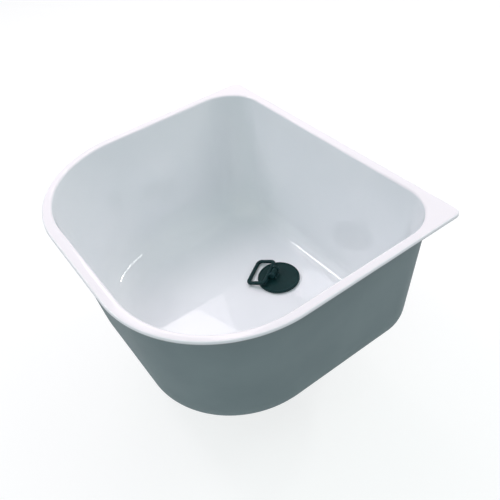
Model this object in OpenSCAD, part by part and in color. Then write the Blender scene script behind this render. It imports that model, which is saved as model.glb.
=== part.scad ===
// Inset sink of formed plastic with a rubber plug, a hinged pull ring and a screwed waste.
// Z is up. The origin is the centre of the rim's outline, on the underside of the rim,
// which is the top face of the worktop that the sink hangs in. The straight back edge is at +Y.

/* [Rim] */
// Width over the rim, left to right
rim_w = 350; // [330:1:420]
// Depth over the rim, front to back
rim_d = 300; // [290:1:360]
// Thickness of the rim
rim_t = 3; // [2:0.5:5]
// Plan radius of the rim's two front corners
rim_front_r = 120; // [105:1:135]
// Plan radius of the rim's two back corners
rim_back_r = 8; // [3:1:14]
// Radius that rounds the rim's top edge
rim_edge_r = 1.5; // [0.5:0.25:1.75]

/* [Bowl] */
// Inside depth, from the rim's top face to the floor
bowl_depth = 161; // [130:1:200]
// Thickness of the walls and the floor
wall_t = 3; // [2:0.5:4]
// Slope of the two side walls away from the vertical, in degrees
side_draft = 5.3; // [3:0.1:7]
// Slope of the front wall away from the vertical, in degrees
front_draft = 5.6; // [3:0.1:7]
// Slope of the back wall away from the vertical, in degrees
back_draft = 4.5; // [3:0.1:7]
// Distance from the rim's side edges to the outside of the walls, under the rim
side_ledge = 7; // [6:0.5:16]
// Distance from the rim's front edge to the outside of the front wall, under the rim
front_ledge = 9; // [7:0.5:18]
// Distance from the rim's back edge to the outside of the back wall, under the rim
back_ledge = 7.5; // [6:0.5:18]
// Plan radius of the walls' two front corners, outside, under the rim
bowl_front_r = 107; // [95:1:118]
// Plan radius of the walls' two back corners, outside, under the rim
bowl_back_r = 47; // [40:1:60]
// Radius of the fillet between the side walls and the floor, inside
side_fillet_r = 45; // [30:1:50]
// Radius of the fillet between the front wall and the floor, inside
front_fillet_r = 25; // [15:1:45]
// Radius of the fillet between the back wall and the floor, inside
back_fillet_r = 19; // [12:1:28]
// Radius of the rolled lip between the rim and the walls, inside
lip_r = 2.5; // [1.5:0.5:4]

/* [Plug seat] */
// Distance from the back edge of the rim to the centre of the plug
plug_back = 84.2; // [78:0.1:110]
// Radius of the plug seat at the floor
seat_r = 22.8; // [20:0.1:24]
// Depth of the sump under the floor
sump_depth = 17; // [16:0.5:26]
// How much narrower the sump is at its bottom, on the radius
sump_taper = 1.2; // [0.5:0.1:2]
// Radius that rounds the mouth of the plug seat
mouth_r = 1.4; // [0.5:0.1:1.8]

/* [Plug] */
// Radius of the plug's disc
disc_r = 25; // [24:0.5:30]
// Thickness of the disc inside its raised edge
disc_t = 3.2; // [2.5:0.1:5]
// Height of the raised edge above the disc
bead_h = 0.7; // [0.3:0.1:1.5]
// Width of the raised edge
bead_w = 2.6; // [2:0.1:4]
// Length of the stem under the disc
stem_l = 11.5; // [8:0.5:12]
// Thickness of the stem's wall
stem_wall = 4; // [2.5:0.5:6]
// Direction in which the ring lies, seen from above, in degrees from the right
ring_turn = 213; // [0:1:359]
// Distance from the plug's centre to the hinge of the ring
hinge_off = 5.4; // [3:0.1:6]
// Height of the hinge above the floor
hinge_h = 9.6; // [9.5:0.1:12]
// Radius of the hinge knuckle on the plug
knuckle_r = 3.1; // [2.8:0.1:3.6]
// Width of the hinge knuckle on the plug
knuckle_w = 8.4; // [6:0.2:10]
// Radius of the two stub axles on the knuckle
axle_r = 2; // [1.5:0.1:2.2]

/* [Pull ring] */
// Radius of the ring's round bar
bar_r = 2.3; // [1.6:0.1:2.4]
// Width of the ring over its bars, along the hinge
ring_w = 42.4; // [34:0.2:46]
// Distance between the centres of the near bar and the far bar
ring_l = 21.8; // [18:0.2:22]
// Radius of the bends in the bar, at its centre
bend_r = 4.6; // [3:0.2:6]
// Radius of the two eyes
eye_r = 4; // [3.4:0.1:4.2]
// Width of each eye
eye_w = 3.8; // [2.4:0.1:4.4]
// Slope of the ring below the level at rest, in degrees
ring_tilt = 14.6; // [10:0.1:14.6]

/* [Waste] */
// Outside radius of the waste's threaded tube
thread_r = 16.6; // [15:0.1:17]
// Inside radius of the waste's tube
waste_bore_r = 13.2; // [11:0.1:14]
// Radius of the waste's flange
flange_r = 21; // [20:0.1:21]
// Thickness of the waste's flange
flange_t = 2.2; // [1.5:0.1:3]
// Width of the flat rim round the flange's dished top
flange_rim = 2; // [1:0.1:3]
// Length of the threaded tube under its flange
tube_l = 33; // [32:0.5:50]
// Width and height of the bars of the grid
grid_t = 2; // [1.5:0.1:3]
// Thickness of the washer under the flange
flange_washer_t = 1.5; // [1:0.1:2.5]
// Thickness of the rubber washer under the sump
seat_washer_t = 3; // [2:0.5:5]
// Thickness of the plastic washer above the back nut
slip_washer_t = 1; // [0.5:0.1:2]
// Outside radius of the two washers under the sump
washer_r = 24; // [22:0.5:30]
// Height of the back nut
back_nut_h = 9; // [7:0.5:12]
// Width across the flats of the back nut
back_nut_af = 44; // [40:1:52]
// Height of the back nut's round foot
back_nut_foot = 2.5; // [1.5:0.5:4]

/* [Hose tail] */
// Outside radius of the spigot
tail_r = 14; // [11:0.1:14.5]
// Thickness of the spigot's wall
tail_wall = 2; // [1.5:0.1:3]
// Length of the spigot under the union nut
tail_l = 32; // [25:1:50]
// Height of the bevel at the spigot's end
tail_bevel = 1.5; // [0.5:0.1:2.5]
// Depth of the neck above the spigot, on the radius, which passes through the union nut
tail_neck = 0.5; // [0.2:0.1:1]
// Length of the neck that shows under the union nut
neck_l = 1; // [0.5:0.1:3]
// Thickness of the hose tail's collar
collar_t = 3; // [2:0.5:4]
// Thickness of the seal above the collar
tail_seal_t = 2.5; // [2:0.1:3.5]
// Outside radius of the union nut
union_r = 21; // [20:0.5:25]
// Length of thread inside the union nut
union_grip = 12; // [8:0.5:14]
// Thickness of the union nut's bottom
union_lip_t = 3; // [2:0.5:4]
// Number of grip ribs on the union nut
union_ribs = 12; // [8:1:18]
// Radius of each grip rib
union_rib_r = 1.5; // [0.8:0.1:2]

/* [Hidden] */

$fn = 96;
// overlap that joins two forms of one piece
joint = 0.5;
// clearance of a turning fit and of a thread, on the radius
run_gap = 0.05;
// clearance between pieces that move past each other
move_gap = 0.4;
// clearance of the plug's stem in its seat, and of its disc on the floor
stem_gap = 0.3;
disc_gap = 0.1;
// clearance of a loose piece round the threaded tube
loose_gap = 0.4;

// steps round each corner and up each rounding of the bowl
front_steps = 20;
back_steps = 12;
fillet_steps = 9;
lip_steps = 4;
edge_steps = 3;
seat_steps = 6;
// sides of a small round bar or rib
bar_sides = 32;

white = [0.95, 0.95, 0.96];
pale = [0.88, 0.88, 0.88];
rubber = [0.13, 0.17, 0.18];
nylon = [0.11, 0.14, 0.15];

floor_z = rim_t - bowl_depth;
under_z = floor_z - wall_t;
plug_y = rim_d / 2 - plug_back;
sump_z = floor_z - sump_depth;
sump_under_z = sump_z - wall_t;
sump_r = seat_r - sump_taper;

// the walls in the order sides, front, back
drafts = [side_draft, front_draft, back_draft];
fillets = [side_fillet_r, front_fillet_r, back_fillet_r];
flattest = min(drafts);
// share of the walls' mean inset by which their corner radii shrink on the way down
corner_share = 0.5;

// points of a quarter circle, counter-clockwise from angle a
function quarter(x, y, r, a, steps, z) =
    [for (i = [0:steps]) let (t = a + 90 * i / steps) [x + r * cos(t), y + r * sin(t), z]];

// closed outline with four round corners, starting at the back right corner
function outline(x, front, back, front_r, back_r, z) = concat(
    quarter(x - back_r, back - back_r, back_r, 0, back_steps, z),
    quarter(back_r - x, back - back_r, back_r, 90, back_steps, z),
    quarter(front_r - x, front + front_r, front_r, 180, front_steps, z),
    quarter(x - front_r, front + front_r, front_r, 270, front_steps, z));

function rim_outline(inset, z) = outline(rim_w / 2 - inset, inset - rim_d / 2, rim_d / 2 - inset,
    rim_front_r - inset, rim_back_r - inset, z);

// outline of the walls, moved in by each wall's inset; the part of the insets past the offset
// shrinks the corner radii by its share
function wall_outline(insets, offset, z) =
    let (mean = (insets[0] + insets[1] + insets[2]) / 3,
         trim = offset + (mean - offset) * corner_share)
    outline(
        rim_w / 2 - side_ledge - insets[0],
        front_ledge + insets[1] - rim_d / 2,
        rim_d / 2 - back_ledge - insets[2],
        bowl_front_r - trim, bowl_back_r - trim, z);

// horizontal thickness of a wall's slope
function wall_h(i) = wall_t / cos(drafts[i]);

// inset of a wall's face at height z: it slopes down from the rim and turns into the floor face
// at height base through a fillet; offset is how far the face lies inside the outer one
function wall_inset(i, z, base, radius, offset) =
    let (top = base + radius * (1 - sin(drafts[i])), up = 1 - (z - base) / radius)
    z >= top
        ? offset - z * tan(drafts[i])
        : offset - top * tan(drafts[i]) + radius * (cos(drafts[i]) - sqrt(1 - up * up));

// inset of a wall's inner face at height z beside the lip, which turns from level at the rim's top
function lip_inset(i, z) =
    let (end = rim_t - lip_r * (1 - sin(drafts[i])), up = 1 - (rim_t - z) / lip_r)
    z <= end
        ? wall_h(i) - z * tan(drafts[i])
        : wall_h(i) - end * tan(drafts[i]) - lip_r * (cos(drafts[i]) - sqrt(1 - up * up));

// heights of the rows from a floor face up to the end of the widest fillet, of the given radius
function fillet_heights(base, radius) =
    [for (i = [0:fillet_steps]) base + radius * (1 - sin(90 - (90 - flattest) * i / fillet_steps))];

outer_rows = concat(
    [for (z = fillet_heights(under_z, max(fillets) + wall_t))
        wall_outline([for (i = [0:2]) wall_inset(i, z, under_z, fillets[i] + wall_t, 0)], 0, z)],
    [wall_outline([0, 0, 0], 0, 0)]);

rim_rows = concat(
    [rim_outline(0, 0)],
    [for (i = [0:edge_steps])
        let (a = 90 * i / edge_steps)
        rim_outline(rim_edge_r * (1 - cos(a)), rim_t - rim_edge_r * (1 - sin(a)))]);

lip_rows = [for (i = [0:lip_steps])
    let (z = rim_t - lip_r * (1 - cos((90 - flattest) * i / lip_steps)))
    wall_outline([for (i = [0:2]) lip_inset(i, z)], wall_t, z)];

inner_heights = fillet_heights(floor_z, max(fillets));
inner_rows = [for (i = [fillet_steps:-1:0])
    let (z = inner_heights[i])
    wall_outline([for (i = [0:2]) wall_inset(i, z, floor_z, fillets[i], wall_h(i))], wall_t, z)];

bowl_rows = concat(outer_rows, rim_rows, lip_rows, inner_rows);

// solid skin over a stack of closed outlines of equal length
module skin(rows) {
    n = len(rows[0]);
    points = [for (row = rows) for (p = row) p];
    sides = [for (i = [0:len(rows) - 2]) for (j = [0:n - 1])
        let (k = (j + 1) % n)
        [i * n + j, (i + 1) * n + j, (i + 1) * n + k, i * n + k]];
    first = [[for (j = [0:n - 1]) j]];
    last = [[for (j = [n - 1:-1:0]) (len(rows) - 1) * n + j]];
    polyhedron(points = points, faces = concat(sides, first, last), convexity = 10);
}

// places its children on the plug's centre line at height z
module on_waste(z) {
    translate([0, plug_y, z]) children();
}

// ring with a rectangular section, standing on height z
module washer(outer, inner, z, h) {
    on_waste(z) difference() {
        cylinder(h = h, r = outer);
        translate([0, 0, -joint]) cylinder(h = h + 2 * joint, r = inner);
    }
}

// formed shell: rim, lip, walls, floor and the sump that seats the plug
module sink_bowl() {
    color(white) difference() {
        union() {
            skin(bowl_rows);
            on_waste(sump_under_z) rotate_extrude() sump_outside();
        }
        on_waste(sump_z) rotate_extrude() sump_inside();
        on_waste(sump_under_z - joint) cylinder(h = wall_t + 2 * joint, r = thread_r + loose_gap);
    }
}

// half section of the sump's outside, with a fillet of one wall thickness under the floor
module sump_outside() {
    top = sump_depth + wall_t / 2;
    root = sump_depth - wall_t;
    side_r = seat_r + wall_t;
    polygon(concat(
        [[0, 0], [sump_r + wall_t, 0]],
        [for (i = [0:seat_steps])
            let (a = 90 * i / seat_steps)
            [side_r + wall_t * (1 - cos(a)), root + wall_t * sin(a)]],
        [[side_r + wall_t, top], [0, top]]));
}

// half section of the sump's inside, with the rounded mouth of the plug seat
module sump_inside() {
    polygon(concat(
        [[0, 0], [sump_r, 0]],
        [for (i = [0:seat_steps])
            let (a = 90 * i / seat_steps)
            [seat_r + mouth_r * (1 - cos(a)), sump_depth - mouth_r * (1 - sin(a))]],
        [[seat_r + mouth_r, sump_depth + joint], [0, sump_depth + joint]]));
}

// radius of the plug's stem at a depth under the floor, parallel to the seat
function stem_radius(depth) = seat_r - stem_gap - sump_taper * depth / sump_depth;

// half section of the plug's disc and hollow stem; height 0 is the floor
module plug_section() {
    edge_r = (disc_t - disc_gap) / 2;
    top = disc_t + bead_h;
    difference() {
        union() {
            translate([0, disc_gap]) square([disc_r - edge_r, disc_t - disc_gap]);
            translate([disc_r - edge_r, disc_gap + edge_r]) circle(r = edge_r);
            polygon([[disc_r - bead_w, disc_gap + edge_r], [disc_r - bead_w, disc_t],
                [disc_r - bead_w + bead_h, top], [disc_r - bead_h, top], [disc_r, disc_t],
                [disc_r, disc_gap + edge_r]]);
            polygon([[0, disc_t], [stem_radius(0), disc_t], [stem_radius(0), 0],
                [stem_radius(stem_l), -stem_l], [0, -stem_l]]);
        }
        translate([0, -stem_l - joint])
            square([stem_radius(stem_l) - stem_wall, stem_l + joint - disc_gap]);
    }
}

// places its children at the plug: origin on the floor at the plug's centre, X towards the ring
module at_plug() {
    on_waste(floor_z) rotate([0, 0, ring_turn]) children();
}

// places its children at the hinge of the ring: X away from the hinge, Y along it
module at_hinge() {
    at_plug() translate([hinge_off, 0, hinge_h]) children();
}

// cylinder along Y, centred
module along_y(r, l) {
    rotate([90, 0, 0]) cylinder(h = l, r = r, center = true);
}

eye_y = knuckle_w / 2 + move_gap + eye_w / 2;
axle_l = 2 * eye_y + eye_w + 2 * move_gap;

// rubber plug: disc, tapered stem, knuckle and stub axles
module plug_body() {
    color(rubber) {
        at_plug() {
            rotate_extrude() plug_section();
            translate([hinge_off - knuckle_r, -knuckle_w / 2, disc_t])
                cube([2 * knuckle_r, knuckle_w, hinge_h - disc_t]);
        }
        at_hinge() {
            along_y(knuckle_r, knuckle_w);
            along_y(axle_r, axle_l);
        }
    }
}

// quarter bend of the ring's bar, from the X axis to the Y axis
module bend() {
    rotate_extrude(angle = 90) translate([bend_r, 0]) circle(r = bar_r, $fn = bar_sides);
}

// closed ring of round bar with two eyes on the plug's stub axles; its near bar lies beside the knuckle
module pull_ring() {
    near = (knuckle_r + move_gap + bar_r) / cos(ring_tilt);
    far = near + ring_l;
    side = ring_w / 2 - bar_r;
    color(nylon) at_hinge() rotate([0, ring_tilt, 0]) difference() {
        union() {
            for (x = [near, far]) translate([x, 0, 0]) along_y(bar_r, 2 * (side - bend_r));
            for (y = [-side, side]) translate([near + bend_r, y, 0])
                rotate([0, 90, 0]) cylinder(h = ring_l - 2 * bend_r, r = bar_r);
            translate([far - bend_r, side - bend_r, 0]) bend();
            translate([near + bend_r, side - bend_r, 0]) rotate([0, 0, 90]) bend();
            translate([near + bend_r, bend_r - side, 0]) rotate([0, 0, 180]) bend();
            translate([far - bend_r, bend_r - side, 0]) rotate([0, 0, 270]) bend();
            for (y = [-eye_y, eye_y]) translate([0, y, 0]) {
                along_y(eye_r, eye_w);
                translate([near / 2, 0, 0]) cube([near, eye_w, 2 * bar_r], center = true);
            }
        }
        along_y(axle_r + run_gap, ring_w);
    }
}

tube_top_z = sump_z + flange_washer_t;
tube_end_z = tube_top_z - tube_l;

// waste: flange with a dished top, threaded tube and cross grid
module waste_body() {
    dish_t = flange_t / 2;
    color(pale) {
        on_waste(tube_end_z) difference() {
            union() {
                cylinder(h = tube_l + joint, r = thread_r);
                translate([0, 0, tube_l]) cylinder(h = flange_t, r = flange_r);
            }
            translate([0, 0, -joint]) cylinder(h = tube_l + flange_t + 2 * joint, r = waste_bore_r);
            translate([0, 0, tube_l + flange_t - dish_t])
                cylinder(h = dish_t, r1 = waste_bore_r, r2 = flange_r - flange_rim);
        }
        on_waste(tube_top_z - grid_t / 2) for (a = [0, 90]) rotate([0, 0, a])
            cube([2 * (waste_bore_r + joint), grid_t, grid_t], center = true);
    }
}

// rubber washer between the waste's flange and the sump
module flange_washer() {
    color(rubber) washer(flange_r - loose_gap, thread_r + loose_gap, sump_z, flange_washer_t);
}

seat_washer_z = sump_under_z - seat_washer_t;
slip_washer_z = seat_washer_z - slip_washer_t;
back_nut_z = slip_washer_z - back_nut_h;

// rubber washer under the sump
module seat_washer() {
    color(rubber) washer(washer_r, thread_r + loose_gap, seat_washer_z, seat_washer_t);
}

// plastic washer on which the back nut turns
module slip_washer() {
    color(pale) washer(washer_r, thread_r + loose_gap, slip_washer_z, slip_washer_t);
}

// six-sided back nut with a round foot against the washers
module back_nut() {
    corner_r = back_nut_af / 2 / cos(30);
    color(pale) on_waste(back_nut_z) difference() {
        union() {
            cylinder(h = back_nut_h, r = corner_r, $fn = 6);
            translate([0, 0, back_nut_h - back_nut_foot]) cylinder(h = back_nut_foot, r = corner_r);
        }
        translate([0, 0, -joint]) cylinder(h = back_nut_h + 2 * joint, r = thread_r + run_gap);
    }
}

tail_seal_z = tube_end_z - tail_seal_t;
collar_z = tail_seal_z - collar_t;
union_z = collar_z - union_lip_t;

// rubber ring between the waste's end and the hose tail
module tail_seal() {
    color(rubber) washer(thread_r - loose_gap, waste_bore_r, tail_seal_z, tail_seal_t);
}

// ribbed nut that draws the hose tail up against its seal
module union_nut() {
    h = tube_end_z + union_grip - union_z;
    color(pale) on_waste(union_z) difference() {
        union() {
            cylinder(h = h, r = union_r);
            for (i = [0:union_ribs - 1]) rotate([0, 0, 360 * i / union_ribs])
                translate([union_r, 0, 0]) cylinder(h = h - union_rib_r, r = union_rib_r, $fn = bar_sides);
        }
        translate([0, 0, union_lip_t]) cylinder(h = h, r = thread_r + run_gap);
        translate([0, 0, -joint]) cylinder(h = h, r = tail_r + loose_gap);
    }
}

// spigot for the drain hose, with a neck through the union nut and the collar that the nut holds
module hose_tail() {
    collar_h = tail_l + union_lip_t;
    color(pale) on_waste(collar_z - collar_h) difference() {
        union() {
            cylinder(h = tail_bevel, r1 = tail_r - tail_bevel / 2, r2 = tail_r);
            translate([0, 0, tail_bevel]) cylinder(h = tail_l - neck_l - tail_bevel, r = tail_r);
            translate([0, 0, tail_bevel]) cylinder(h = collar_h + joint - tail_bevel, r = tail_r - tail_neck);
            translate([0, 0, collar_h]) cylinder(h = collar_t, r = thread_r - loose_gap);
        }
        translate([0, 0, -joint]) cylinder(h = collar_h + collar_t + 2 * joint, r = tail_r - tail_wall);
    }
}

sink_bowl();
plug_body();
pull_ring();
waste_body();
flange_washer();
seat_washer();
slip_washer();
back_nut();
tail_seal();
union_nut();
hose_tail();
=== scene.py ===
import bpy
import math
from mathutils import Matrix, Quaternion, Vector, noise


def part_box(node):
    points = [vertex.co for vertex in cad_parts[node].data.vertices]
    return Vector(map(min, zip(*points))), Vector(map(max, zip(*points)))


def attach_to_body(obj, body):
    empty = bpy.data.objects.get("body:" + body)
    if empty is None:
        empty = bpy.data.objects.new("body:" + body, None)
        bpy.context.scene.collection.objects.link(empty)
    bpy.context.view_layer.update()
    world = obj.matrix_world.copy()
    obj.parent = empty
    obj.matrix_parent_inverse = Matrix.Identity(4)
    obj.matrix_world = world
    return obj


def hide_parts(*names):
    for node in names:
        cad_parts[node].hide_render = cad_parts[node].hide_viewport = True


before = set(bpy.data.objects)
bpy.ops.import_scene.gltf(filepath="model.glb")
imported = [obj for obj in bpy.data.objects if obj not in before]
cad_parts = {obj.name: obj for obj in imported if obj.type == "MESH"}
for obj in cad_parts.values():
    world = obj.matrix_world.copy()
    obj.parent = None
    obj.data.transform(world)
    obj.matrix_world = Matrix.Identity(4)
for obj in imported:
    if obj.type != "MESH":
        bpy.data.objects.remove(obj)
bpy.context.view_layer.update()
print("frame loaded:", len(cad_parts), "nodes")

mm = 0.001

# the view comes first: where the photograph was taken from, in mm and degrees
view = {
    "target": (88.12, -20.58, 3.0),
    "azimuth": 59.17,
    "elevation": 42.40,
    "roll": -7.81,
    "distance": 519.47,
    "lens": 43.083,
    "shiftX": -0.001,
    "shiftY": 0.001,
}


# direction of an azimuth and elevation in degrees, where azimuth 0 is the front
def towards(azimuth, elevation):
    turn, lift = math.radians(azimuth), math.radians(elevation)
    return Vector((math.sin(turn) * math.cos(lift), -math.cos(turn) * math.cos(lift), math.sin(lift)))


def makeCamera():
    away = towards(view["azimuth"], view["elevation"])
    roll = math.radians(view["roll"])
    level = (-away).cross(Vector((0, 0, 1))).normalized()
    over = level.cross(-away)
    right = math.cos(roll) * level + math.sin(roll) * over
    up = math.cos(roll) * over - math.sin(roll) * level
    turn = Matrix((right, up, away)).transposed().to_4x4()
    place = (Vector(view["target"]) + away * view["distance"]) * mm
    lens = bpy.data.cameras.new("camera")
    lens.lens = view["lens"]
    lens.sensor_width = 36
    lens.shift_x = view["shiftX"]
    lens.shift_y = view["shiftY"]
    lens.clip_start = 0.01
    lens.clip_end = 50
    camera = bpy.data.objects.new("camera", lens)
    camera.matrix_world = Matrix.Translation(place) @ turn
    bpy.context.scene.collection.objects.link(camera)
    bpy.context.scene.camera = camera


makeCamera()
print("camera placed")


# shader maths: a wire is one socket, and sums on wires add Math nodes
class Wire:
    def __init__(self, paint, socket):
        self.paint = paint
        self.socket = socket

    def sum(self, operation, first, second):
        return self.paint.node("ShaderNodeMath", {"operation": operation}, {0: first, 1: second})

    def __add__(self, other):
        return self.sum("ADD", self, other)

    def __radd__(self, other):
        return self.sum("ADD", other, self)

    def __sub__(self, other):
        return self.sum("SUBTRACT", self, other)

    def __mul__(self, other):
        return self.sum("MULTIPLY", self, other)


class Paint:
    def __init__(self, name, world=None):
        self.owner = world or bpy.data.materials.new(name)
        self.owner.use_nodes = True
        self.tree = self.owner.node_tree
        self.tree.nodes.clear()

    # any node: its settings come first, then the values or links of its sockets
    def node(self, kind, settings=None, inputs=None, output=0):
        made = self.tree.nodes.new(kind)
        for name, value in (settings or {}).items():
            setattr(made, name, value)
        for name, value in (inputs or {}).items():
            if isinstance(value, Wire):
                self.tree.links.new(value.socket, made.inputs[name])
            else:
                made.inputs[name].default_value = value
        return Wire(self, made.outputs[output]) if made.outputs else made

    def place(self):
        return self.node("ShaderNodeTexCoord", output="Object")

    def part(self, vector, axis):
        return self.node("ShaderNodeSeparateXYZ", inputs={0: vector}, output="XYZ".index(axis))

    def noise(self, scale, detail=2):
        return self.node("ShaderNodeTexNoise", {"noise_dimensions": "3D"},
                         {"Vector": self.place(), "Scale": scale, "Detail": detail, "Roughness": 0.5})

    # a value that climbs from 0 to 1 between two limits
    def rise(self, value, low, high):
        return self.node("ShaderNodeMapRange", {"interpolation_type": "SMOOTHSTEP"},
                         {0: value, 1: low, 2: high, 3: 0.0, 4: 1.0})

    def blend(self, factor, first, second):
        return self.node("ShaderNodeMix", {"data_type": "RGBA"},
                         {0: factor, 6: colourOf(first), 7: colourOf(second)}, output=2)

    def bump(self, height, distance):
        return self.node("ShaderNodeBump", inputs={"Height": height, "Distance": distance, "Strength": 1.0})

    def finish(self, **sockets):
        names = {key: key.replace("_", " ").title() for key in sockets}
        names["ior"] = "IOR"
        names["specular_level"] = "Specular IOR Level"
        inputs = {names[key]: colourOf(value) for key, value in sockets.items()}
        shader = self.node("ShaderNodeBsdfPrincipled", inputs=inputs)
        self.node("ShaderNodeOutputMaterial", inputs={"Surface": shader})
        return self.owner


def colourOf(value):
    return (*value, 1) if isinstance(value, tuple) and len(value) == 3 else value


# glossy white face of the formed sheet, with painted light on the rim: the rim's top gets a lighter, pinker
# colour that stands in for the stronger light falling on it
whiteLook = {
    "light": (0.875, 0.885, 0.905),
    "dark": (0.845, 0.86, 0.885),
    # thick: painted light, the lighter pinkish colour laid on the rim's top where more light falls; the two
    # heights after it bound where it fades in
    "thick": (0.95, 0.895, 0.93),
    "rimLightLow": 0.0008,
    "rimLightHigh": 0.0028,
    "patch": 9.0,
    "patchRange": (0.35, 0.65),
    "smears": 45.0,
    "gloss": 0.03,
    "glossSpread": 0.02,
    "peelScale": 420.0,
    "peelHeight": 0.000005,
    "ior": 1.52,
}


def makeWhiteFace():
    paint = Paint("whiteFace")
    patches = paint.noise(whiteLook["patch"], 3)
    peel = paint.noise(whiteLook["peelScale"], 2)
    smears = paint.noise(whiteLook["smears"], 4)
    wallTone = paint.blend(paint.rise(patches, *whiteLook["patchRange"]), whiteLook["dark"], whiteLook["light"])
    # painted light: a mask that climbs with height, so the rim's top takes the lit rim colour over the walls'
    # own white tone
    thick = paint.rise(paint.part(paint.place(), "Z"), whiteLook["rimLightLow"], whiteLook["rimLightHigh"])
    return paint.finish(
        base_color=paint.blend(thick, wallTone, whiteLook["thick"]),
        roughness=whiteLook["gloss"] + smears * whiteLook["glossSpread"],
        ior=whiteLook["ior"],
        normal=paint.bump(peel, whiteLook["peelHeight"]),
    )


# plain grey back of the sheet, with the fine grain of its rough side
greyLook = {
    "light": (0.238, 0.288, 0.299),
    "dark": (0.215, 0.262, 0.273),
    "patch": 14.0,
    "patchRange": (0.3, 0.7),
    "grainScale": 1500.0,
    "grainHeight": 0.00005,
    "roughness": 0.5,
    "roughSpread": 0.1,
    "specular": 0.12,
}


def makeGreyBack():
    paint = Paint("greyBack")
    patches = paint.noise(greyLook["patch"], 3)
    grain = paint.noise(greyLook["grainScale"], 3)
    return paint.finish(
        base_color=paint.blend(paint.rise(patches, *greyLook["patchRange"]),
                               greyLook["dark"], greyLook["light"]),
        roughness=greyLook["roughness"] + grain * greyLook["roughSpread"],
        specular_level=greyLook["specular"],
        normal=paint.bump(grain, greyLook["grainHeight"]),
    )


# trimmed edge of the rim: white on top, fading into the grey back, with faint saw marks
edgeLook = {
    "white": (0.93, 0.905, 0.935),
    "grey": (0.30, 0.32, 0.34),
    "fadeLow": 0.0001,
    "fadeHigh": 0.0013,
    "marks": 900.0,
    "markDepth": 0.00003,
    "wanderScale": 40.0,
    "wander": 0.0004,
    "gloss": 0.3,
    "glossSpread": 0.2,
    "ior": 1.5,
}


def makeCutEdge():
    paint = Paint("cutEdge")
    height = paint.part(paint.place(), "Z")
    marks = paint.noise(edgeLook["marks"], 2)
    wander = height + (paint.noise(edgeLook["wanderScale"], 2) - 0.5) * edgeLook["wander"]
    return paint.finish(
        base_color=paint.blend(paint.rise(wander, edgeLook["fadeLow"], edgeLook["fadeHigh"]),
                               edgeLook["grey"], edgeLook["white"]),
        roughness=edgeLook["gloss"] + marks * edgeLook["glossSpread"],
        ior=edgeLook["ior"],
        normal=paint.bump(marks, edgeLook["markDepth"]),
    )


# moulded rubber of the plug and the washers
rubberLook = {
    "dark": (0.003, 0.024, 0.025),
    "light": (0.005, 0.031, 0.032),
    "bloom": (0.013, 0.05, 0.052),
    "patch": 120.0,
    "patchRange": (0.3, 0.7),
    "dustScale": 360.0,
    "dustRange": (0.55, 0.85),
    "dustShare": 0.35,
    "grain": 3000.0,
    "grainHeight": 0.00003,
    "gloss": 0.42,
    "glossSpread": 0.16,
    "specular": 0.16,
}


def makeRubber():
    paint = Paint("blackRubber")
    patches = paint.noise(rubberLook["patch"], 4)
    grain = paint.noise(rubberLook["grain"], 2)
    base = paint.blend(paint.rise(patches, *rubberLook["patchRange"]),
                       rubberLook["dark"], rubberLook["light"])
    dust = paint.rise(paint.noise(rubberLook["dustScale"], 5), *rubberLook["dustRange"])
    return paint.finish(
        base_color=paint.blend(dust * rubberLook["dustShare"], base, rubberLook["bloom"]),
        roughness=rubberLook["gloss"] + patches * rubberLook["glossSpread"],
        specular_level=rubberLook["specular"],
        normal=paint.bump(grain, rubberLook["grainHeight"]),
    )


# moulded nylon of the pull ring, streaked by its flow
nylonLook = {
    "dark": (0.003, 0.023, 0.025),
    "light": (0.005, 0.03, 0.032),
    "flow": 260.0,
    "grain": 2400.0,
    "grainHeight": 0.00002,
    "gloss": 0.36,
    "glossSpread": 0.14,
    "specular": 0.16,
}


def makeNylon():
    paint = Paint("blackNylon")
    flow = paint.noise(nylonLook["flow"], 3)
    grain = paint.noise(nylonLook["grain"], 2)
    return paint.finish(
        base_color=paint.blend(flow, nylonLook["dark"], nylonLook["light"]),
        roughness=nylonLook["gloss"] + flow * nylonLook["glossSpread"],
        specular_level=nylonLook["specular"],
        normal=paint.bump(grain, nylonLook["grainHeight"]),
    )


# pale moulded plastic of the waste, its nuts and the hose tail
paleLook = {
    "dark": (0.60, 0.615, 0.61),
    "light": (0.68, 0.69, 0.68),
    "flow": 70.0,
    "grain": 1800.0,
    "grainHeight": 0.00003,
    "gloss": 0.32,
    "glossSpread": 0.16,
    "ior": 1.49,
}


def makePalePlastic():
    paint = Paint("palePlastic")
    flow = paint.noise(paleLook["flow"], 4)
    grain = paint.noise(paleLook["grain"], 2)
    return paint.finish(
        base_color=paint.blend(flow, paleLook["dark"], paleLook["light"]),
        roughness=paleLook["gloss"] + flow * paleLook["glossSpread"],
        ior=paleLook["ior"],
        normal=paint.bump(grain, paleLook["grainHeight"]),
    )


looks = {
    "whiteFace": makeWhiteFace(),
    "greyBack": makeGreyBack(),
    "cutEdge": makeCutEdge(),
    "rubber": makeRubber(),
    "nylon": makeNylon(),
    "pale": makePalePlastic(),
}
print("materials made:", ", ".join(looks))


# points in mm and faces become an object in metres
def makePiece(name, points, faces, finishes, bands=None):
    mesh = bpy.data.meshes.new(name)
    mesh.from_pydata([Vector(p) * mm for p in points], [], faces)
    for finish in finishes:
        mesh.materials.append(looks[finish])
    for i, face in enumerate(mesh.polygons):
        face.use_smooth = True
        if bands:
            face.material_index = bands[i]
    mesh.update()
    piece = bpy.data.objects.new(name, mesh)
    bpy.context.scene.collection.objects.link(piece)
    return piece


def attach(piece, body, slot, *nodes):
    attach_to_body(piece, body)
    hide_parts(*nodes)


# faces over a stack of equal rings; the stack closes on itself when closed is true
def bandFaces(rings, around, closed):
    faces = []
    for i in range(rings if closed else rings - 1):
        j = (i + 1) % rings
        for k in range(around):
            m = (k + 1) % around
            faces.append((i * around + k, i * around + m, j * around + m, j * around + k))
    return faces


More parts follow.
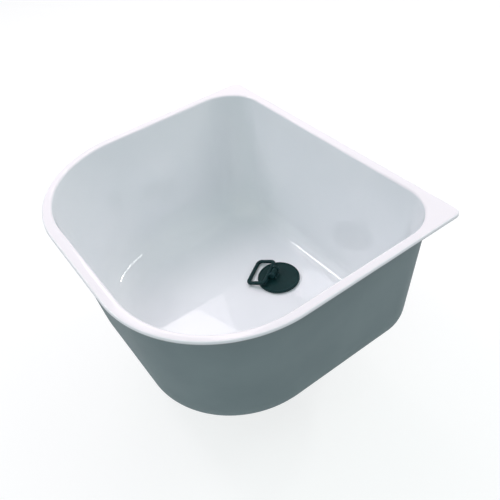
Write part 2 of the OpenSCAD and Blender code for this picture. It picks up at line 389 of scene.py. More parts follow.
# faces over a stack of equal rows of points, with flat ends
def cappedFaces(rows):
    around = len(rows[0])
    last = (len(rows) - 1) * around
    ends = [tuple(range(around))[::-1], tuple(range(last, last + around))]
    return bandFaces(len(rows), around, False) + ends


def between(first, second, share):
    return first + (second - first) * share


# the formed sheet, in mm and degrees, as the solid has it
bowl = {
    "rimT": 3.0,
    "rimFrontR": 120.0,
    "rimBackR": 8.0,
    "rimEdgeR": 1.5,
    "lowEdgeR": 0.3,
    "depth": 161.0,
    "wallT": 3.0,
    "drafts": (5.3, 5.6, 4.5),
    "fillets": (45.0, 25.0, 19.0),
    "ledges": (7.0, 9.0, 7.5),
    "frontR": 107.0,
    "backR": 47.0,
    "cornerShare": 0.5,
    "lipR": 2.5,
    "lipTurn": 86.0,
    "rootR": 1.0,
    "seatR": 22.8,
    "sumpDepth": 17.0,
    "sumpTaper": 1.2,
    "mouthR": 1.4,
    "brink": 0.2,
    "holeR": 17.0,
    "sumpCornerR": 1.5,
    "frontSteps": 56,
    "backSteps": 28,
    "edgeSteps": (42, 26, 18, 26),
    "filletSteps": 22,
    "filletTurn": 85.0,
    "wallSteps": 18,
    "rimSteps": 4,
    "underSteps": 3,
    "floorSteps": 14,
    "roundSteps": 6,
    "waveScale": 11.0,
    "waveHeight": 0.10,
    "waveSeed": 5,
    "waveTop": 8.0,
    "waveFade": 30.0,
    "waveSeatR": 32.0,
    "waveSeatFade": 25.0,
}

sinkLow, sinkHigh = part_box("sink_bowl")
wasteLow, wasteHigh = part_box("waste_body")
rimW = (sinkHigh.x - sinkLow.x) / mm
rimD = (sinkHigh.y - sinkLow.y) / mm
plugY = (wasteLow.y + wasteHigh.y) / 2 / mm
floorZ = bowl["rimT"] - bowl["depth"]
underZ = floorZ - bowl["wallT"]
sumpZ = floorZ - bowl["sumpDepth"]
sumpUnderZ = sumpZ - bowl["wallT"]


def quarter(x, y, r, start, steps):
    turns = [math.radians(start + 90 * i / steps) for i in range(steps + 1)]
    return [(x + r * math.cos(t), y + r * math.sin(t)) for t in turns]


# closed outline with four round corners, starting at the back right corner
def outline(x, front, back, frontR, backR, z):
    corners = [
        quarter(x - backR, back - backR, backR, 0, bowl["backSteps"]),
        quarter(backR - x, back - backR, backR, 90, bowl["backSteps"]),
        quarter(frontR - x, front + frontR, frontR, 180, bowl["frontSteps"]),
        quarter(x - frontR, front + frontR, frontR, 270, bowl["frontSteps"]),
    ]
    points = []
    for i, corner in enumerate(corners):
        a, b, steps = corner[-1], corners[(i + 1) % 4][0], bowl["edgeSteps"][i]
        points += corner
        points += [(between(a[0], b[0], j / steps), between(a[1], b[1], j / steps)) for j in range(1, steps)]
    return [(*p, z) for p in points]


def rimRing(inset, z):
    return outline(rimW / 2 - inset, inset - rimD / 2, rimD / 2 - inset,
                   bowl["rimFrontR"] - inset, bowl["rimBackR"] - inset, z)


def wallRing(insets, offset, z):
    side, front, back = bowl["ledges"]
    trim = offset + (sum(insets) / 3 - offset) * bowl["cornerShare"]
    return outline(rimW / 2 - side - insets[0], front + insets[1] - rimD / 2, rimD / 2 - back - insets[2],
                   bowl["frontR"] - trim, bowl["backR"] - trim, z)


# inset of each wall's face at height z: sloping down from the rim, then through its fillet to the floor
def wallInsets(z, base, extra, thick):
    insets = []
    for draft, fillet in zip(bowl["drafts"], bowl["fillets"]):
        lean, r = math.radians(draft), fillet + extra
        offset = thick / math.cos(lean)
        top = base + r * (1 - math.sin(lean))
        if z >= top:
            insets.append(offset - z * math.tan(lean))
        else:
            up = 1 - (z - base) / r
            curve = math.cos(lean) - math.sqrt(max(0, 1 - up * up))
            insets.append(offset - top * math.tan(lean) + r * curve)
    return insets


def lipInsets(z):
    insets = []
    for draft in bowl["drafts"]:
        lean, r = math.radians(draft), bowl["lipR"]
        end = bowl["rimT"] - r * (1 - math.sin(lean))
        up = 1 - (bowl["rimT"] - z) / r
        insets.append(bowl["wallT"] / math.cos(lean) - end * math.tan(lean)
                      - r * (math.cos(lean) - math.sqrt(max(0, 1 - up * up))))
    return insets


def faceHeights(base, extra, highest):
    heights = {base}
    for fillet in (max(bowl["fillets"]), min(bowl["fillets"])):
        for i in range(1, bowl["filletSteps"] + 1):
            turn = math.radians(bowl["filletTurn"]) * i / bowl["filletSteps"]
            heights.add(base + (fillet + extra) * (1 - math.cos(turn)))
    low = max(heights)
    for i in range(1, bowl["wallSteps"]):
        heights.add(between(low, highest, i / bowl["wallSteps"]))
    return sorted(heights)


# angles round the seat that pair each point of the floor's outline with a point of a circle
def seatAngles(ring):
    lengths = [0.0]
    for a, b in zip(ring, ring[1:] + ring[:1]):
        lengths.append(lengths[-1] + math.dist(a, b))
    middle = bowl["backSteps"] + bowl["edgeSteps"][0] // 2 + 0.5
    low, share = int(middle), middle - int(middle)
    centre = between(lengths[low], lengths[low + 1], share)
    return [math.pi / 2 + 2 * math.pi * (length - centre) / lengths[-1] for length in lengths[:-1]]


def arc(x, z, r, start, end, steps):
    turns = [math.radians(between(start, end, i / steps)) for i in range(steps + 1)]
    return [(x + r * math.cos(t), z + r * math.sin(t)) for t in turns]


# faint waves of the formed sheet, none of them near the rim or the plug's seat
def waved(point):
    x, y, z = point
    depth = min(1, max(0, (-z - bowl["waveTop"]) / bowl["waveFade"]))
    seat = min(1, max(0, (math.hypot(x, y - plugY) - bowl["waveSeatR"]) / bowl["waveSeatFade"]))
    push = noise.noise_vector(Vector(point) * mm * bowl["waveScale"]) * bowl["waveHeight"] * depth * seat
    return (x + push.x, y + push.y, z + push.z)


def makeBowl():
    thick, rimT, lipR, rounds = bowl["wallT"], bowl["rimT"], bowl["lipR"], bowl["roundSteps"]
    lipEnd = rimT - lipR * (1 - math.sin(math.radians(min(bowl["drafts"]))))
    innerFloor = wallRing(wallInsets(floorZ, floorZ, 0, thick), thick, floorZ)
    angles = seatAngles(innerFloor)
    sumpR = bowl["seatR"] - bowl["sumpTaper"]

    def seatRing(r, z):
        return [(r * math.cos(t), plugY + r * math.sin(t), z) for t in angles]

    def mixed(first, second, steps):
        return [[tuple(between(a, b, i / steps) for a, b in zip(p, q)) for p, q in zip(first, second)]
                for i in range(1, steps)]

    rings, finishes = [], []

    def add(more, finish):
        rings.extend(more)
        finishes.extend([finish] * len(more))

    # up out of the sump: hole, bottom, side, mouth
    corner = bowl["sumpCornerR"]
    add([seatRing(bowl["holeR"], sumpZ)], 0)
    add([seatRing(r, z) for r, z in arc(sumpR - corner, sumpZ + corner, corner, -90, 0, rounds)], 0)
    mouth = bowl["mouthR"]
    add([seatRing(r, z) for r, z in arc(bowl["seatR"] + mouth, floorZ - mouth, mouth, 180, 90, rounds)], 0)
    # floor, fillet and inner wall
    brink = seatRing(bowl["seatR"] + mouth + bowl["brink"], floorZ)
    add([brink], 0)
    add(mixed(brink, innerFloor, bowl["floorSteps"]), 0)
    add([wallRing(wallInsets(z, floorZ, 0, thick), thick, z) for z in faceHeights(floorZ, 0, lipEnd)], 0)
    # lip, rim top and trimmed edge
    lipTurns = [math.radians(bowl["lipTurn"]) * i / rounds for i in range(rounds, -1, -1)]
    lipHeights = [rimT - lipR * (1 - math.cos(t)) for t in lipTurns]
    add([wallRing(lipInsets(z), thick, z) for z in lipHeights], 0)
    edgeR = bowl["rimEdgeR"]
    add(mixed(wallRing(lipInsets(rimT), thick, rimT), rimRing(edgeR, rimT), bowl["rimSteps"]), 0)
    turns = [math.radians(90 * i / rounds) for i in range(rounds, -1, -1)]
    add([rimRing(edgeR * (1 - math.cos(t)), rimT - edgeR * (1 - math.sin(t))) for t in turns], 1)
    lowR = bowl["lowEdgeR"]
    add([rimRing(lowR * (1 - math.cos(t)), lowR * (1 - math.sin(t))) for t in turns[::-2]], 1)
    # rim underside, outer wall and outer fillet
    rootR = bowl["rootR"]
    add(mixed(rimRing(lowR, 0), wallRing([-rootR] * 3, -rootR, 0), bowl["underSteps"]), 2)
    add([wallRing([-rootR * (1 - math.sin(t))] * 3, -rootR * (1 - math.sin(t)), -rootR * (1 - math.cos(t)))
         for t in turns[::-2]], 2)
    outer = faceHeights(underZ, thick, -rootR - 1)[::-1]
    add([wallRing(wallInsets(z, underZ, thick, 0), 0, z) for z in outer], 2)
    # underside of the floor, then the outside of the sump back to the hole
    outerFloor = wallRing(wallInsets(underZ, underZ, thick, 0), 0, underZ)
    sideR = bowl["seatR"] + thick
    add(mixed(outerFloor, seatRing(sideR + thick, underZ), bowl["floorSteps"]), 2)
    add([seatRing(r, z) for r, z in arc(sideR + thick, underZ - thick, thick, 90, 180, rounds)], 2)
    bottom = arc(sumpR + thick - corner, sumpUnderZ + corner, corner, 0, -90, rounds)
    add([seatRing(r, z) for r, z in bottom], 2)
    add([seatRing(bowl["holeR"], sumpUnderZ)], 2)

    around = len(rings[0])
    noise.seed_set(bowl["waveSeed"])
    points = [waved(p) for ring in rings for p in ring]
    faces = bandFaces(len(rings), around, True)
    bands = [finishes[i // around] for i in range(len(faces))]
    piece = makePiece("sink_shell", points, faces, ["whiteFace", "cutEdge", "greyBack"], bands)
    attach(piece, "root", "white_plastic", "sink_bowl")
    print("bowl made:", len(rings), "rings of", around)


makeBowl()


# a closed or open profile of (radius, height, rounding) corners as a smooth line of (radius, height)
def rounded(corners, closed=True, steps=5):
    line = []
    count = len(corners)
    for i, (r, z, bend) in enumerate(corners):
        if bend <= 0 or (not closed and i in (0, count - 1)):
            line.append((r, z))
            continue
        here = Vector((r, z))
        before = (Vector(corners[i - 1][:2]) - here).normalized()
        after = (Vector(corners[(i + 1) % count][:2]) - here).normalized()
        half = before.angle(after) / 2
        reach = bend / math.tan(half)
        centre = here + (before + after).normalized() * (bend / math.sin(half))
        start, end = here + before * reach - centre, here + after * reach - centre
        sweep = start.angle_signed(end)
        for j in range(steps + 1):
            turn = Matrix.Rotation(-sweep * j / steps, 2)
            line.append(tuple(centre + turn @ start))
    return line


# turns a line of (radius, height) round the Z axis; reach changes a radius by angle and height
def turned(line, around, closed=True, reach=None):
    points, rows, faces = [], [], []
    for r, z in line:
        if r < 1e-6:
            rows.append([len(points)] * around)
            points.append((0, 0, z))
            continue
        row = []
        for k in range(around):
            t = 2 * math.pi * k / around
            wide = reach(r, t, z) if reach else r
            row.append(len(points))
            points.append((wide * math.cos(t), wide * math.sin(t), z))
        rows.append(row)
    pairs = list(zip(rows, rows[1:])) + ([(rows[-1], rows[0])] if closed else [])
    for low, high in pairs:
        for k in range(around):
            m = (k + 1) % around
            face = dict.fromkeys((low[k], low[m], high[m], high[k]))
            if len(face) > 2:
                faces.append(tuple(face))
    return points, faces


def moved(points, matrix):
    return [tuple(matrix @ Vector(p)) for p in points]


# box with rounded edges, from its low corner to its high one
def roundBox(low, high, r, steps=3):
    half = 90 / steps
    middle = [(a + b) / 2 for a, b in zip(low, high)]
    size = [(b - a) / 2 - r for a, b in zip(low, high)]
    levels = [-90 + half * i for i in range(2 * steps + 1)]
    rows = []
    for level in levels:
        lift = math.radians(level)
        row = []
        for corner in range(4):
            for i in range(steps + 1):
                t = math.radians(90 * corner + 90 * i / steps)
                sx = 1 if corner in (0, 3) else -1
                sy = 1 if corner in (0, 1) else -1
                row.append((middle[0] + sx * size[0] + r * math.cos(lift) * math.cos(t),
                            middle[1] + sy * size[1] + r * math.cos(lift) * math.sin(t),
                            middle[2] + (size[2] if level > 0 else -size[2]) + r * math.sin(lift)))
        rows.append(row)
        if level == 0:
            rows.append([(x, y, middle[2] + size[2]) for x, y, z in row])
    return [p for row in rows for p in row], cappedFaces(rows)


# one solid out of several closed ones
def fused(name, parts, finish):
    pieces = [makePiece(name + str(i), points, faces, [finish]) for i, (points, faces) in enumerate(parts)]
    whole = pieces[0]
    for other in pieces[1:]:
        union = whole.modifiers.new("union", "BOOLEAN")
        union.operation = "UNION"
        union.solver = "EXACT"
        union.object = other
    settled = whole.evaluated_get(bpy.context.evaluated_depsgraph_get())
    mesh = bpy.data.meshes.new_from_object(settled)
    mesh.name = name
    for piece in pieces:
        bpy.data.objects.remove(piece)
    fusedPiece = bpy.data.objects.new(name, mesh)
    bpy.context.scene.collection.objects.link(fusedPiece)
    for face in mesh.polygons:
        face.use_smooth = True
    mesh.set_sharp_from_angle(angle=math.radians(38))
    return fusedPiece


# the plug, in mm: its origin is on the floor at the plug's centre, its X points to the ring
plug = {
    "discR": 25.0,
    "discT": 3.2,
    "gap": 0.1,
    "beadH": 0.7,
    "beadW": 2.6,
    "stemR": 22.5,
    "stemEndR": 21.7,
    "stemL": 11.5,
    "stemWall": 4.0,
    "ribs": (3.2, 6.4),
    "ribH": 0.18,
    "turn": 213.0,
    "hingeOff": 5.4,
    "hingeH": 9.6,
    "knuckleR": 3.1,
    "knuckleW": 8.4,
    "flare": 1.4,
    "flareSteps": 6,
    "flarePower": 0.9,
    "sunk": 0.4,
    "cornerR": 0.7,
    "cornerSpread": 0.6,
    "axleR": 2.0,
    "axleL": 17.6,
    "around": 144,
}

atPlug = Matrix.Translation((0, plugY, floorZ)) @ Matrix.Rotation(math.radians(plug["turn"]), 4, "Z")
atHinge = atPlug @ Matrix.Translation((plug["hingeOff"], 0, plug["hingeH"]))
alongY = Matrix.Rotation(math.radians(90), 4, "X")


def plugLine():
    top, bead = plug["discT"], plug["discT"] + plug["beadH"]
    inner, r = plug["discR"] - plug["beadW"], plug["discR"]
    hollowR = plug["stemEndR"] - plug["stemWall"]
    corners = [(0, top, 0), (inner, top, 0.4), (inner + plug["beadH"], bead, 0.3), (r - 0.55, bead, 0.3),
               (r, top - 0.2, 0.6), (r, plug["gap"] + 0.9, 0.5), (r - 0.9, plug["gap"], 0.4),
               (plug["stemR"] + 0.2, plug["gap"], 0)]
    for depth in plug["ribs"]:
        here = between(plug["stemR"], plug["stemEndR"], depth / plug["stemL"])
        corners += [(here, -depth + 0.6, 0.2), (here + plug["ribH"], -depth, 0.2), (here, -depth - 0.6, 0.2)]
    corners += [(plug["stemEndR"], -plug["stemL"], 0.6), (hollowR, -plug["stemL"], 0.6),
                (hollowR, -plug["gap"], 1.0), (0, -plug["gap"], 0)]
    return rounded(corners, closed=False, steps=4)


# the knuckle that carries the ring: a block with a flared foot under a round top
def knuckleParts():
    r, w, flare, steps = plug["knuckleR"], plug["knuckleW"], plug["flare"], plug["flareSteps"]
    foot = plug["discT"] - plug["sunk"]
    rows = []
    levels = [(foot, flare), (plug["discT"], flare)]
    for i in range(1, steps + 1):
        t = math.radians(90 * i / steps)
        levels.append((plug["discT"] + flare * math.sin(t) ** plug["flarePower"], flare * (1 - math.sin(t))))
    levels.append((plug["hingeH"], 0))
    for z, wide in levels:
        corner = plug["cornerR"] + wide * plug["cornerSpread"]
        x, y = r + wide, w / 2 + wide
        row = []
        for sx, sy, start in ((1, 1, 0), (-1, 1, 90), (-1, -1, 180), (1, -1, 270)):
            row += [(px + plug["hingeOff"], py, z)
                    for px, py in quarter(sx * (x - corner), sy * (y - corner), corner, start, 4)]
        rows.append(row)
    return [p for row in rows for p in row], cappedFaces(rows)


def barrel(r, length, edge, around=64):
    half = length / 2
    line = rounded([(0, -half, 0), (r, -half, edge), (r, half, edge), (0, half, 0)], closed=False, steps=3)
    return turned(line, around, closed=False)


def makePlug():
    disc = turned(plugLine(), plug["around"], closed=False)
    knuckle = knuckleParts()
    top = barrel(plug["knuckleR"], plug["knuckleW"], 0.5)
    axle = barrel(plug["axleR"], plug["axleL"], 0.4)
    parts = [
        (moved(disc[0], atPlug), disc[1]),
        (moved(knuckle[0], atPlug), knuckle[1]),
        (moved(top[0], atHinge @ alongY), top[1]),
        (moved(axle[0], atHinge @ alongY), axle[1]),
    ]
    piece = fused("plug", parts, "rubber")
    attach(piece, "plug", "black_rubber", "plug_body")
    print("plug made:", len(piece.data.polygons), "faces")


makePlug()

# the pull ring, in mm, in the hinge's own frame
ring = {
    "barR": 2.3,
    "width": 42.4,
    "length": 21.8,
    "bendR": 4.6,
    "eyeR": 4.0,
    "eyeW": 3.8,
    "boreR": 2.05,
    "eyeGap": 0.4,
    "tilt": 14.6,
    "seam": 0.06,
    "armR": 0.5,
    "armInset": 0.05,
    "armStart": 0.35,
    "armEnd": 0.4,
    "around": 28,
    "bendSteps": 14,
}

ringTilt = math.radians(ring["tilt"])
nearBar = (plug["knuckleR"] + ring["eyeGap"] + ring["barR"]) / math.cos(ringTilt)


def ringBar():
    near, far = nearBar, nearBar + ring["length"]
    side = ring["width"] / 2 - ring["barR"]
    bend, steps = ring["bendR"], ring["bendSteps"]
    path = []
    for x, y, start in ((far - bend, side - bend, 0), (near + bend, side - bend, 90),
                        (near + bend, bend - side, 180), (far - bend, bend - side, 270)):
        for i in range(steps + 1):
            t = math.radians(start + 90 * i / steps)
            path.append((Vector((x + bend * math.cos(t), y + bend * math.sin(t), 0)),
                         Vector((math.cos(t), math.sin(t), 0))))
    points = []
    for place, out in path:
        for k in range(ring["around"]):
            t = 2 * math.pi * k / ring["around"]
            r = ring["barR"] - ring["seam"] * (1 - abs(math.cos(t)) ** 8)
            points.append(tuple(place + out * (r * math.cos(t)) + Vector((0, 0, r * math.sin(t)))))
    return points, bandFaces(len(path), ring["around"], True)


def ringEye(y):
    half, r, bore = ring["eyeW"] / 2, ring["eyeR"], ring["boreR"]
    line = rounded([(bore, -half, 0.2), (r, -half, 0.5), (r, half, 0.5), (bore, half, 0.2)], steps=3)
    points, faces = turned(line, 64)
    return moved(points, Matrix.Translation((0, y, 0)) @ alongY), faces


def ringArm(y):
    half, inset = ring["eyeW"] / 2, ring["armInset"]
    low = (ring["boreR"] + ring["armStart"], y - half + inset, inset - ring["barR"])
    high = (nearBar + ring["armEnd"], y + half - inset, ring["barR"] - inset)
    return roundBox(low, high, ring["armR"])


def makeRing():
    place = atHinge @ Matrix.Rotation(ringTilt, 4, "Y")
    reach = plug["knuckleW"] / 2 + ring["eyeGap"] + ring["eyeW"] / 2
    parts = [ringBar()]
    for y in (-reach, reach):
        parts += [ringEye(y), ringArm(y)]
    piece = fused("ring", [(moved(points, place), faces) for points, faces in parts], "nylon")
    attach(piece, "ring", "black_nylon", "pull_ring")
    print("ring made:", len(piece.data.polygons), "faces")


makeRing()

# the waste under the bowl, in mm; heights are counted from the sump's inside
waste = {
    "flangeT": 2.2,
    "flangeR": 21.0,
    "washerT": 1.5,
    "threadR": 16.6,
    "threadDepth": 0.95,
    "pitch": 2.3,
    "crest": 0.12,
    "flank": 0.76,
    "runOut": (2.5, 2.0),
    "runIn": (0.8, 1.2),
    "boreR": 13.2,
    "tubeL": 33.0,
    "gridT": 2.0,
    "around": 120,
}

tubeTop = sumpZ + waste["washerT"]
tubeEnd = tubeTop - waste["tubeL"]


def atWaste(z):
    return Matrix.Translation((0, plugY, z))


# radius of the threaded tube: a ridge that climbs one pitch each turn and fades out at both ends;
# every other radius of the waste stays
def threadReach(r, t, z):
    if abs(r - waste["threadR"]) > 0.01:
        return r
    phase = (z / waste["pitch"] - t / (2 * math.pi)) % 1
    valley = min(1, max(0, (abs(phase - 0.5) * 2 - waste["crest"]) / waste["flank"]))
    (topGap, topFade), (lowGap, lowFade) = waste["runOut"], waste["runIn"]
    fade = min(1, max(0, (waste["tubeL"] - topGap - z) / topFade)) * min(1, max(0, (z - lowGap) / lowFade))
    return r - waste["threadDepth"] * (valley * fade + (1 - fade))


def makeWaste():
    length, bore, dish = waste["tubeL"], waste["boreR"], waste["flangeT"] / 2
    rows = int(length / waste["pitch"] * 9)
    line = [(waste["threadR"], length * i / rows) for i in range(rows)]
    top = length + waste["flangeT"]
    flange = waste["flangeR"]
    line += rounded([(waste["threadR"], length, 0), (flange, length, 0.3), (flange, top, 0.7),
                     (flange - 2, top, 0.5), (bore, top - dish, 0.6), (bore, 0, 0.5)], False, 4)
    points, faces = turned(line, waste["around"], reach=threadReach)
    parts = [(moved(points, atWaste(tubeEnd)), faces)]
    half, wide = waste["gridT"] / 2, bore + 0.4
    for turn in (0, 90):
        bar, barFaces = roundBox((-wide, -half, -half), (wide, half, half), 0.35)
        place = atWaste(tubeTop - half) @ Matrix.Rotation(math.radians(turn), 4, "Z")
        parts.append((moved(bar, place), barFaces))
    piece = fused("waste", parts, "pale")
    attach(piece, "root", "pale_plastic", "waste_body")
    print("waste made:", len(piece.data.polygons), "faces")


makeWaste()

# the back nut, in mm
backNut = {
    "height": 9.0,
    "flats": 44.0,
    "foot": 2.5,
    "facetDepth": 4.0,
    "boreR": 16.65,
    "bevel": 1.8,
    "around": 144,
}


def makeBackNut():
    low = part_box("back_nut")[0]
    height, flat = backNut["height"], backNut["flats"] / 2
    corner = flat / math.cos(math.radians(30))

    def hexReach(r, t, z):
        if r < flat - backNut["facetDepth"] or z > height - backNut["foot"] - 0.01:
            return r
        facet = flat / math.cos((t + math.radians(30)) % math.radians(60) - math.radians(30))
        return min(r, facet)

    bore, foot = backNut["boreR"], height - backNut["foot"]
    line = rounded([(bore, 0, 0.6), (corner - backNut["bevel"], 0, 0.3), (corner, 1.1, 0.3),
                    (corner, foot - 0.05, 0), (corner, foot, 0), (corner, height, 0.5),
                    (bore, height, 0.6)], steps=3)
    points, faces = turned(line, backNut["around"], reach=hexReach)
    piece = makePiece("back_nut_hex", moved(points, atWaste(low.z / mm)), faces, ["pale"])
    piece.data.set_sharp_from_angle(angle=math.radians(30))
    attach(piece, "root", "pale_plastic", "back_nut")
    print("back nut made")


makeBackNut()

# the union nut, in mm
unionNut = {
    "radius": 21.0,
    "ribs": 12,
    "ribR": 1.5,
    "lip": 3.0,
    "threadR": 16.65,
    "mouthR": 14.4,
    "rowGap": 0.6,
    "around": 288,
}


def makeUnionNut():
    low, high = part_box("union_nut")
    height = (high.z - low.z) / mm
    r, rib = unionNut["radius"], unionNut["ribR"]

    def ribReach(wide, t, z):
        if wide < r - rib:
            return wide
        spread = 2 * math.pi / unionNut["ribs"]
        across = abs((t + spread / 2) % spread - spread / 2) * r
        fade = math.sqrt(max(0, 1 - max(0, (z - height + 2 * rib) / rib) ** 2)) if z > height - 2 * rib else 1
        bulge = math.sqrt(max(0, rib * rib - across * across))
        return wide + bulge * min(1, fade)

    mouth, thread, lip = unionNut["mouthR"], unionNut["threadR"], unionNut["lip"]
    smooth = rounded([(mouth, 0, 0.5), (r, 0, 0.8), (r, height, 0.9), (thread, height, 0.7),
                      (thread, lip, 0.4), (mouth, lip, 0.3)], steps=4)
    line = []
    # the long outer side gets short steps, so that the ribs can end in a curve
    for a, b in zip(smooth, smooth[1:] + [None]):
        line.append(a)
        if b and math.dist(a, b) > 4 and a[0] > r - 1:
            steps = int(math.dist(a, b) / unionNut["rowGap"])
            line += [tuple(between(p, q, i / steps) for p, q in zip(a, b)) for i in range(1, steps)]
    points, faces = turned(line, unionNut["around"], reach=ribReach)
    piece = makePiece("union_nut_ribbed", moved(points, atWaste(low.z / mm)), faces, ["pale"])
    piece.data.set_sharp_from_angle(angle=math.radians(40))
    attach(piece, "root", "pale_plastic", "union_nut")
    print("union nut made")


makeUnionNut()

# the hose tail, in mm: its barbs hold the hose
tail = {
    "radius": 14.0,
    "wall": 2.0,
    "collarR": 16.2,
    "collarT": 3.0,
    "barbs": 4,
    "barbH": 0.7,
    "barbStep": 6.0,
    "barbCrest": 3.4,
    "barbBack": 3.9,
    "barbFoot": 4.8,
    "bevel": 1.5,
    "spigot": 31.0,
    "neckR": 13.5,
    "around": 128,
}


def makeTail():
    low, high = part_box("hose_tail")
    height = (high.z - low.z) / mm
    r, bore = tail["radius"], tail["radius"] - tail["wall"]
    corners = [(bore, 0, 0.4), (r - tail["bevel"], 0, 0.3)]
    for i in range(tail["barbs"]):
        base = tail["barbStep"] * i
        corners += [(r, base + tail["barbCrest"], 0.25), (r - tail["barbH"], base + tail["barbBack"], 0.2)]
        if i < tail["barbs"] - 1:
            corners.append((r - tail["barbH"], base + tail["barbFoot"], 0.2))
    root, top = height - tail["collarT"], tail["barbStep"] * tail["barbs"]
    neck, collar, spigot = tail["neckR"], tail["collarR"], tail["spigot"]
    corners += [(r - tail["barbH"], top, 0.4), (r, top + 1, 0.4), (r, spigot, 0.2), (neck, spigot, 0.15),
                (neck, root, 0.3), (collar, root, 0.3), (collar, height, 0.4), (bore, height, 0.4)]
    points, faces = turned(rounded(corners, steps=3), tail["around"])
    piece = makePiece("hose_tail_barbed", moved(points, atWaste(low.z / mm)), faces, ["pale"])
    piece.data.set_sharp_from_angle(angle=math.radians(40))
    attach(piece, "root", "pale_plastic", "hose_tail")
    print("hose tail made")


makeTail()

# the flat washers keep their solids and get softened edges, in metres
washers = {
    "finishes": {
        "flange_washer": "rubber",
        "seat_washer": "rubber",
        "tail_seal": "rubber",
        "slip_washer": "pale",
    },
    "soft": 0.00025,
}


def dressWashers():
    for name, finish in washers["finishes"].items():
        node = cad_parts[name]
        node.data.materials.clear()
        node.data.materials.append(looks[finish])
        soften = node.modifiers.new("soften", "BEVEL")
        soften.width = washers["soft"]
        soften.segments = 2
        soften.limit_method = "ANGLE"
        soften.angle_limit = math.radians(40)
    print("washers dressed")


dressWashers()

# lamps: direction as azimuth and elevation seen from the point each aims at, sizes in metres;
# those that fill the room show in no reflection
lamps = {
    "window": {"aim": (-0.018, -0.045, -0.158), "azimuth": -110.9, "elevation": 51.0, "distance": 1.6,
               "size": (0.6, 0.22), "turn": -45, "power": 1.0, "colour": (1.0, 0.9, 0.89), "mirrored": True},
    "pane": {"aim": (-0.018, -0.02, -0.158), "azimuth": -107.1, "elevation": 48, "distance": 1.6,
             "size": (0.39, 0.45), "turn": 0, "power": 0.72, "colour": (1.0, 0.93, 0.98), "mirrored": True},
    "strip": {"aim": (0.0, 0.118, -0.156), "azimuth": -64.5, "elevation": 51.5, "distance": 1.5,
              "size": (0.42, 0.11), "turn": 35, "power": 2.4, "colour": (1.0, 0.95, 1.0), "mirrored": True},
    "tube": {"aim": (-0.13, -0.07, -0.145), "azimuth": 155, "elevation": 41.5, "distance": 1.6,
             "size": (0.98, 0.08), "turn": -24, "power": 2.6, "colour": (1.0, 1.0, 1.0), "mirrored": True},
    "bulb": {"aim": (-0.117, -0.087, -0.147), "azimuth": 173, "elevation": 35.0, "distance": 1.6,
             "size": (0.16, 0.12), "turn": 0, "power": 1.8, "colour": (1.0, 1.0, 1.0), "mirrored": True},
    "back": {"aim": (0, 0, 0), "azimuth": 170, "elevation": 45, "distance": 2.0,
             "size": (2.4, 1.8), "turn": 0, "power": 9.0, "colour": (0.955, 1.0, 0.966), "mirrored": False},
    "side": {"aim": (0, 0, 0), "azimuth": -60, "elevation": 45, "distance": 1.9,
             "size": (1.7, 1.3), "turn": 0, "power": 6.2, "colour": (0.97, 0.96, 1.0), "mirrored": False},
    "left": {"aim": (0, 0, 0), "azimuth": -95, "elevation": 60, "distance": 1.9,
             "size": (1.7, 1.3), "turn": 0, "power": 5.9, "colour": (1.0, 0.65, 0.82), "mirrored": False},
    "front": {"aim": (0, 0, 0), "azimuth": 30, "elevation": 50, "distance": 1.9,
              "size": (1.7, 1.3), "turn": 0, "power": 6.2, "colour": (0.7, 0.98, 0.9), "mirrored": False},
}

room = {
    "ambient": 0.352,
    "ambientColour": (0.85, 0.96, 1.0),
    "floorColour": (0.93, 0.93, 0.93),
    "floorDrop": 0.001,
    "floorSize": 8.0,
    "floorGlow": 1.15,
    "shadowShare": 0.35,
}


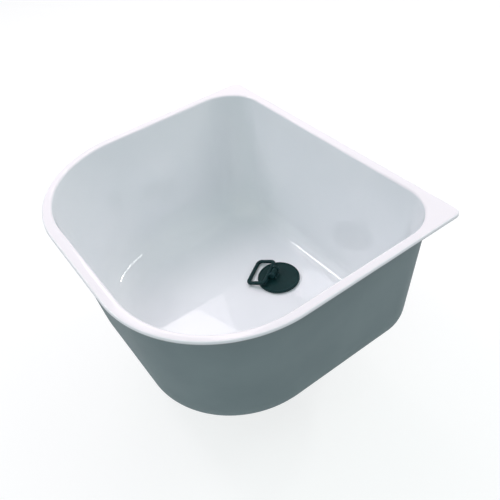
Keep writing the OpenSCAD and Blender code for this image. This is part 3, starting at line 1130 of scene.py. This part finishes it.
def makeLamps():
    for name, lamp in lamps.items():
        away = towards(lamp["azimuth"], lamp["elevation"])
        light = bpy.data.lights.new(name, "AREA")
        light.shape = "RECTANGLE"
        light.size, light.size_y = lamp["size"]
        light.energy = lamp["power"]
        light.color = lamp["colour"]
        holder = bpy.data.objects.new(name, light)
        holder.location = Vector(lamp["aim"]) + away * lamp["distance"]
        holder.visible_glossy = lamp["mirrored"]
        holder.rotation_mode = "QUATERNION"
        spin = Quaternion((0, 0, 1), math.radians(lamp["turn"]))
        holder.rotation_quaternion = away.to_track_quat("Z", "Y") @ spin
        bpy.context.scene.collection.objects.link(holder)
    print("lamps hung:", len(lamps))


# white to the camera and in reflections, a plain ambient level for everything else
def makeWorld():
    world = bpy.data.worlds.new("room")
    bpy.context.scene.world = world
    paint = Paint("room", world)
    seen = paint.node("ShaderNodeLightPath", output="Is Camera Ray")
    mirrored = paint.node("ShaderNodeLightPath", output="Is Glossy Ray")
    through = paint.node("ShaderNodeLightPath", output="Is Transmission Ray")
    white = paint.node("ShaderNodeMath", {"operation": "MINIMUM"}, {0: seen + mirrored + through, 1: 1.0})
    dim = paint.node("ShaderNodeBackground", inputs={"Color": colourOf(room["ambientColour"]),
                                                    "Strength": room["ambient"]})
    bright = paint.node("ShaderNodeBackground", inputs={"Color": (1, 1, 1, 1), "Strength": 1.0})
    mixed = paint.node("ShaderNodeMixShader", inputs={0: white, 1: dim, 2: bright})
    paint.node("ShaderNodeOutputWorld", inputs={"Surface": mixed})


def makeFloor():
    low = min(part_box(name)[0].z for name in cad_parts)
    half, z = room["floorSize"] / 2, low - room["floorDrop"]
    mesh = bpy.data.meshes.new("floor")
    corners = [(-half, -half, z), (half, -half, z), (half, half, z), (-half, half, z)]
    mesh.from_pydata(corners, [], [(0, 1, 2, 3)])
    floor = bpy.data.objects.new("floor", mesh)
    bpy.context.scene.collection.objects.link(floor)
    paint = Paint("paleFloor")
    seen = paint.node("ShaderNodeLightPath", output="Is Camera Ray")
    plain = paint.node("ShaderNodeBsdfDiffuse", inputs={"Color": colourOf(room["floorColour"])})
    white = paint.node("ShaderNodeEmission", inputs={"Color": (1, 1, 1, 1), "Strength": room["floorGlow"]})
    share = seen * (1 - room["shadowShare"])
    mixed = paint.node("ShaderNodeMixShader", inputs={0: share, 1: plain, 2: white})
    paint.node("ShaderNodeOutputMaterial", inputs={"Surface": mixed})
    mesh.materials.append(paint.owner)
    print("floor laid")


makeLamps()
makeWorld()
makeFloor()
bpy.context.scene.view_settings.view_transform = "Standard"
